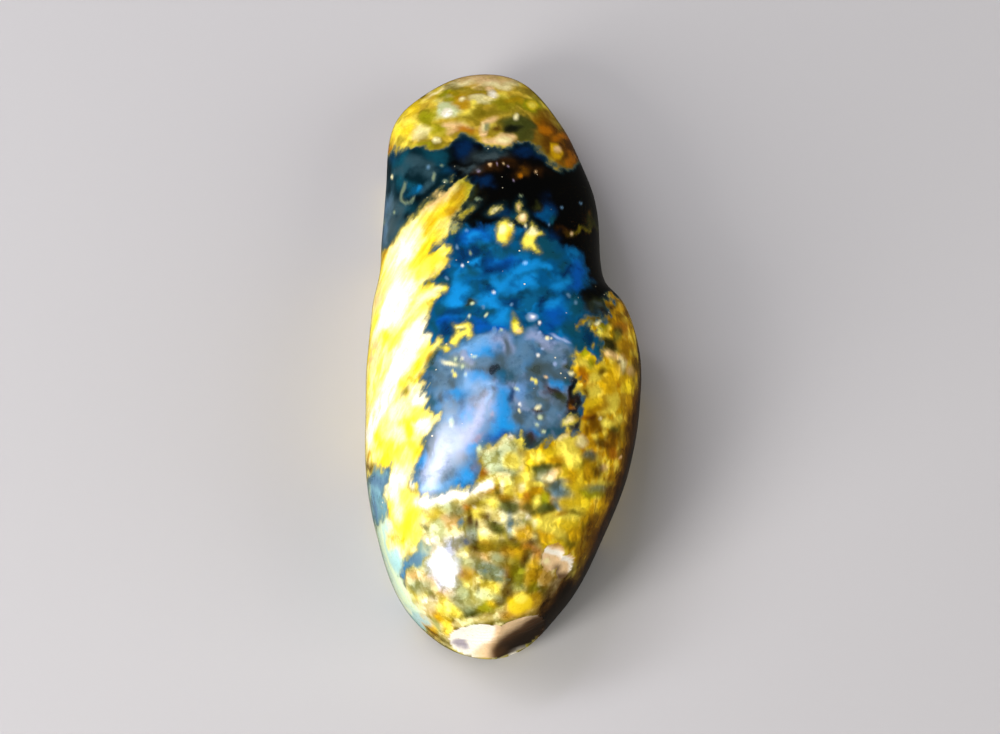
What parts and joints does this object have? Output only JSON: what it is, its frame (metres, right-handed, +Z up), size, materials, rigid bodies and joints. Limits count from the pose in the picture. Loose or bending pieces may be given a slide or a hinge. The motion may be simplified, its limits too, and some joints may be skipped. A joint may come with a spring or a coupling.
{
  "type": "polished blue amber",
  "caption": "Free-form pebble of polished blue amber, long and domed on a flat ground base, with a straight flank, a side lobe and chips at its near end.",
  "frame": {"origin": "middle of the stone's bounding box, on the flat base that it lies on", "axes": "+Y along the stone to its thin far end, +X to the side with the lobe, +Z up out of the dome"},
  "size_m": [0.0141, 0.0324, 0.0087],
  "materials": {
    "amber": "polished"
  },
  "bodies": {
    "root": {"amber": "amber"}
  },
  "joints": []
}
